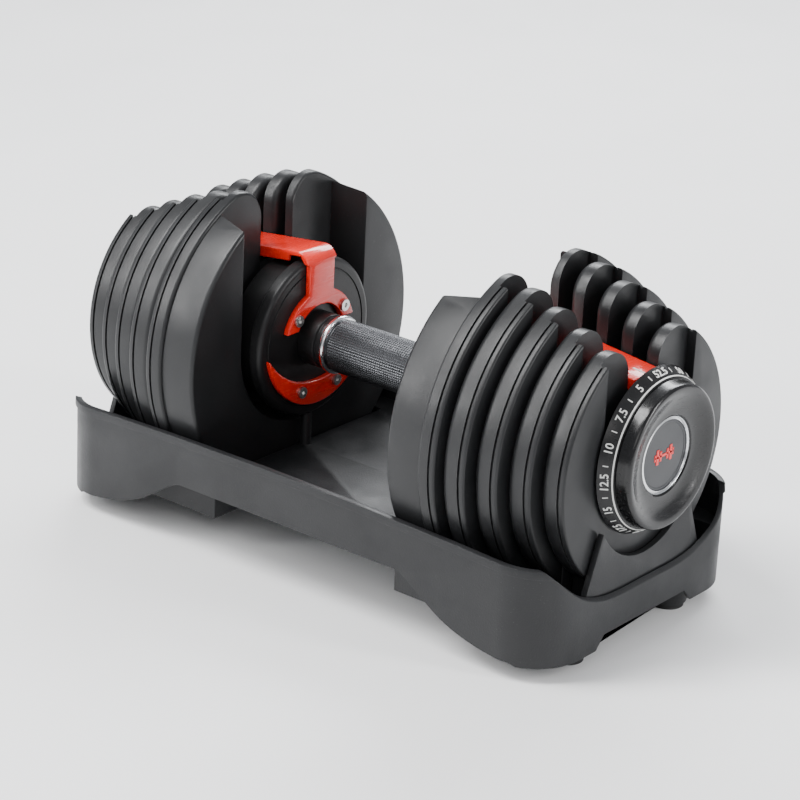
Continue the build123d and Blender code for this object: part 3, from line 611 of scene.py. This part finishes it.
def hub():
    """Flange with a rounded rim and a fine ring sunk in its face, and the drum behind it."""
    drum, bore = HUB_R - 5 * MM, 8.1 * MM
    flange, seat = HUB_X + 9 * MM, HUB_X + 15 * MM
    rim = 3.4 * MM
    line = HUB_R - 6.4 * MM
    sunk = HUB_X + 0.7 * MM
    piece = turned("hub", [(seat, TUBE_R), (HUB_X, TUBE_R), (HUB_X, line - 1.2 * MM),
                           (sunk, line - 0.9 * MM), (sunk, line - 0.3 * MM), (HUB_X, line),
                           (HUB_X, HUB_R - rim)]
                   + arc((HUB_X + rim, HUB_R - rim), rim, 180, 90, 7)[1:]
                   + [(flange - 0.8 * MM, HUB_R), (flange, HUB_R - 0.8 * MM), (flange, drum),
                      (HUB_END - 1 * MM, drum), (HUB_END, drum - 1 * MM), (HUB_END, bore),
                      (seat, bore), (seat, TUBE_R)], 128)
    smooth(piece)
    both_ends(piece, "hub_body", "handle", "black_moulding", "hub_{}")


grip()
sleeve_fittings()
hub()
both_ends(refined("bracket_right", "bracket", 0.6 * MM, 3), "bridge", "handle", "red_moulding", "bracket_{}")
both_ends(refined("lower_cover_right", "cover", 0.7 * MM, 3), "cover", "handle", "red_moulding",
          "lower_cover_{}")


# ---- dials ----

def cone_r(x):
    """Radius of the number ring at x."""
    return NUMBER_R - (x - DIAL_X - 0.6 * MM) * tan(NUMBER_SLOPE)


def on_cone(end, angle, along):
    """Frame on the number ring: reading direction, up, out of the surface, and the place itself.

    The angle is about the axis from +Y; along runs from the back of the ring (0) to its front (1).
    """
    away = Vector((0, cos(angle), sin(angle)))
    side = Vector((end, 0, 0))
    right = Vector((0, sin(angle), -cos(angle))) * end
    up = away * sin(NUMBER_SLOPE) - side * cos(NUMBER_SLOPE)
    out = away * cos(NUMBER_SLOPE) + side * sin(NUMBER_SLOPE)
    x = DIAL_X + along * (NUMBER_FRONT - DIAL_X)
    place_at = Vector((end * x, 0, AXIS_Z)) + away * cone_r(x)
    turn = Matrix((right, up, out)).transposed().to_4x4()
    return Matrix.Translation(place_at) @ turn


def printed(name, matrix):
    """Settle the active mesh on the ring, as a thin print."""
    mark = bpy.context.object
    mark.name = name
    mark.matrix_world = matrix
    only(mark)
    bpy.ops.object.transform_apply(location=True, rotation=True, scale=True)
    return mark


def numerals(end_name, end):
    """The settings in pounds, with a short line half way between two of them, and a fine pale ring, a painted
    highlight where the knob starts.
    """
    marks, letter, tick = [], 6.6 * MM, (0.6 * MM, 3.2 * MM, 0.3 * MM)
    for s, value in enumerate(SETTINGS):
        angle = radians(90 + (s - len(SETTINGS) + 1) * 360 / len(SETTINGS))
        bpy.ops.object.select_all(action="DESELECT")
        bpy.ops.object.text_add()
        text = bpy.context.object
        text.data.body = value
        text.data.size = letter
        text.data.align_x = "CENTER"
        text.data.align_y = "CENTER"
        text.data.offset = 0.08 * MM
        text.data.extrude = 0.16 * MM
        text.data.resolution_u = 3
        bpy.ops.object.convert(target="MESH")
        marks.append(printed("numeral", on_cone(end, angle, 0.52)))
        bpy.ops.object.select_all(action="DESELECT")
        bpy.ops.mesh.primitive_cube_add(size=1)
        bpy.context.object.scale = tick
        bpy.ops.object.transform_apply(scale=True)
        marks.append(printed("tick", on_cone(end, angle + radians(180 / len(SETTINGS)), 0.5)))
    # The fine ring at the front of the number ring is a painted highlight: a pale band standing in for the
    # light caught where the knob starts.
    r, highlight_ring_back, highlight_ring_front = cone_r(NUMBER_FRONT), NUMBER_FRONT - 0.9 * MM, NUMBER_FRONT - 0.2 * MM
    line = turned("line", [(highlight_ring_back, r + 0.3 * MM), (highlight_ring_back, r + 0.60 * MM), (highlight_ring_front, r + 0.2 * MM),
                           (highlight_ring_front, r - 0.2 * MM), (highlight_ring_back, r + 0.3 * MM)])
    if end < 0:
        line = mirrored(line, "painted_highlight_ring_left")
        bpy.data.objects.remove(bpy.data.objects["line"])
    whole = joined(marks + [line], "numerals_" + end_name)
    clean(whole, 0.000002)
    # Pale paint for the printed numbers and ticks, and for the painted highlight ring.
    paint(whole, "print_and_painted_highlight")
    place(whole, "dial_" + end_name, "number_black")


def number_ring():
    back, front = DIAL_X, NUMBER_FRONT
    r1 = cone_r(front)
    piece = turned("ring", [(back, NECK_R), (back, NUMBER_R - 0.6 * MM),
                            (back + 0.2 * MM, NUMBER_R - 0.2 * MM), (back + 0.6 * MM, NUMBER_R),
                            (front - 0.3 * MM, cone_r(front - 0.3 * MM)),
                            (front, r1 - 0.2 * MM), (front, NECK_R), (back, NECK_R)], 144)
    smooth(piece, 40)
    both_ends(piece, "number_cone", "dial_{}", "number_black", "number_ring_{}")


def knob():
    """Polished knob: a smooth rim, a wide concave dish and a recess for the badge."""
    start_x, front = NUMBER_FRONT, KNOB_FRONT
    sink = high("badge_ring_right")[0] - 0.8 * MM
    r, rim, steps, depth = KNOB_R, 3.6 * MM, 9, 4.3 * MM
    edge_r = r - rim
    dish = [(front - 0.1 * MM - depth * sin(pi / 2 * t / steps),
             edge_r - 1.2 * MM - (edge_r - 2.2 * MM - BADGE_R) * t / steps)
            for t in range(1, steps + 1)]
    seat = low("badge_plate_right")[0]
    piece = turned("knob", [(DIAL_X, AXLE_BORE_R), (DIAL_X, NECK_R), (start_x, NECK_R),
                            (start_x, r - 1.0 * MM), (start_x + 0.25 * MM, r - 0.35 * MM),
                            (start_x + 0.9 * MM, r)]
                   + [(front - 3.4 * MM, r - 0.7 * MM)]
                   + arc((front - 2.3 * MM, r - 3.0 * MM), 2.3 * MM, 75, 0, 8)
                   + [(front - 0.02 * MM, r - 4.0 * MM)] + dish
                   + [(sink + 0.3 * MM, BADGE_R + 0.3 * MM), (sink, BADGE_R), (seat, BADGE_R),
                      (seat, AXLE_BORE_R), (DIAL_X, AXLE_BORE_R)], 144)
    smooth(piece, 30)
    both_ends(piece, "knob", "dial_{}", "gloss_black", "dial_knob_{}")


def badge():
    """Bright ring round a dark face that bears a plain barbell sign."""
    back, face = low("badge_ring_right")[0], high("badge_plate_right")[0]
    top, inner = high("badge_ring_right")[0], BADGE_R - 2 * MM
    ring = turned("bezel", [(back, inner), (back, BADGE_R), (top - 0.8 * MM, BADGE_R)]
                  + arc((top - 0.9 * MM, BADGE_R - 1.0 * MM), 0.9 * MM, 60, 120, 6)
                  + [(top - 0.8 * MM, inner), (back, inner)], 128)
    smooth(ring, 50)
    both_ends(ring, "bezel", "dial_{}", "bright_metal", "badge_ring_{}")
    hole, sunk = 0.4 * MM, face - 0.35 * MM
    plate_in = turned("face", [(back, hole), (back, inner), (face - 0.25 * MM, inner),
                               (face, inner - 0.3 * MM), (face, inner - 1.4 * MM),
                               (sunk, inner - 1.8 * MM), (sunk, hole)], 96)
    edit(plate_in)
    pick("VERT", lambda v: hypot(v.co.y, v.co.z - AXIS_Z) < 0.5 * MM)
    bpy.ops.transform.resize(value=(1, 0, 0), center_override=(face, 0, AXIS_Z))
    bpy.ops.mesh.select_all(action="SELECT")
    bpy.ops.mesh.remove_doubles(threshold=SAME)
    bpy.ops.mesh.normals_make_consistent(inside=False)
    leave_edit()
    smooth(plate_in, 40)
    both_ends(plate_in, "badge_face", "dial_{}", "badge_face", "badge_plate_{}")
    parts, raised = [], 0.2 * MM
    bar = (0, 9.6, 0.85)
    sizes = ((6.4, 1.25, 4.6), (3.4, 1.0, 3.1), (8.6, 0.8, 2.1))
    weights = [(side * y, half_y, half_z) for y, half_y, half_z in sizes for side in (-1, 1)]
    for y, half_y, half_z in [bar] + weights:
        bpy.ops.object.select_all(action="DESELECT")
        bpy.ops.mesh.primitive_cube_add(size=2, location=(face - 0.22 * MM, y * MM, AXIS_Z))
        bpy.context.object.scale = (raised, half_y * MM, half_z * MM)
        parts.append(start("bar"))
    sign = joined(parts, "sign")
    soften(sign, 0.3 * MM, 3)
    paint(sign, "emblem_red")
    twin = mirrored(sign, "sign_left")
    sign.name = sign.data.name = "sign_right"
    place(sign, "dial_right", "badge_face")
    place(twin, "dial_left", "badge_face")


def pointers():
    """White line on the bridge, over the number in use."""
    back = 6 * MM
    place_z = AXIS_Z + BRIDGE_TIP_Z + back * sin(BRIDGE_SLOPE) + 0.02 * MM
    bpy.ops.object.select_all(action="DESELECT")
    bpy.ops.mesh.primitive_cube_add(size=1, location=(high("bracket_right")[0] - back, 0, place_z))
    mark = bpy.context.object
    mark.scale = (8 * MM, 1.5 * MM, 0.3 * MM)
    mark.rotation_euler = (0, BRIDGE_SLOPE, 0)
    mark = start("pointer")
    soften(mark, 0.08 * MM, 2)
    paint(mark, "print_and_painted_highlight")
    twin = mirrored(mark, "pointer_left")
    mark.name = mark.data.name = "pointer_right"
    place(mark, "handle", "red_moulding")
    place(twin, "handle", "red_moulding")


number_ring()
knob()
badge()
pointers()
for end_name, end in ENDS.items():
    numerals(end_name, end)


# ---- tray ----

def tray():
    piece = refined("tray", "base_tray", 0.5 * MM, 2, 28)
    paint(piece, "tray_moulding")
    place(piece, "tray", "tray_moulding", "tray")


tray()


# ---- room, light and camera ----

def room():
    bpy.ops.object.select_all(action="DESELECT")
    bpy.ops.mesh.primitive_plane_add(size=14)
    floor = bpy.context.object
    floor.name = "floor"
    pale = Finish("floor_pale", (0.90, 0.90, 0.90), 0.65)
    pale.tint(pale.ramp(pale.noise(3, 3), 0.4, 0.7, 0, 0.3), (0.86, 0.86, 0.87))
    pale.roughness(pale.noise(12, 4), 0.55, 0.75)
    floor.data.materials.append(pale.material)
    world = bpy.data.worlds.new("soft_room")
    world.use_nodes = True
    world.node_tree.nodes["Background"].inputs["Color"].default_value = (0.93, 0.95, 1.0, 1)
    world.node_tree.nodes["Background"].inputs["Strength"].default_value = 0.55
    bpy.context.scene.world = world


def lamp(name, place, aim, size, power, colour=(1, 1, 1)):
    light = bpy.data.lights.new(name, "AREA")
    light.shape = "RECTANGLE"
    light.size, light.size_y = size
    light.energy = power
    light.color = colour
    obj = bpy.data.objects.new(name, light)
    bpy.context.scene.collection.objects.link(obj)
    obj.location = place
    obj.rotation_euler = (Vector(aim) - Vector(place)).to_track_quat("-Z", "Y").to_euler()


def studio():
    centre = (0, 0, 0.1)
    lamp("key_light", (-0.7, -0.8, 1.8), centre, (0.7, 1.2), 62)
    lamp("left_strip", (-1.05, -1.3, 0.80), centre, (0.30, 0.9), 20)
    lamp("back_light", (-0.6, 1.5, 1.3), centre, (1.6, 0.5), 50, (0.96, 0.98, 1))
    lamp("side_strip", (1.8, 0.5, 0.8), (0.1, 0, 0.1), (0.3, 1.4), 26)
    lamp("front_fill", (1.3, -1.9, 1.5), centre, (1.4, 1.0), 12, (1, 0.98, 0.96))


def camera():
    """The view that shows one end and the near side, from a little above."""
    sight = bpy.data.cameras.new("view")
    sight.sensor_width = 36
    sight.lens = 131
    obj = bpy.data.objects.new("view", sight)
    bpy.context.scene.collection.objects.link(obj)
    away, aim = Vector((1.008, -1.268, 0.625 + AXIS_Z)), Vector((0.004, 0.0, 0.094))
    obj.location = away
    look = (aim - away).to_track_quat("-Z", "Y")
    lean = Matrix.Rotation(radians(2.8), 4, "Z").to_quaternion()
    obj.rotation_euler = (look @ lean).to_euler()
    bpy.context.scene.camera = obj


room()
studio()
camera()
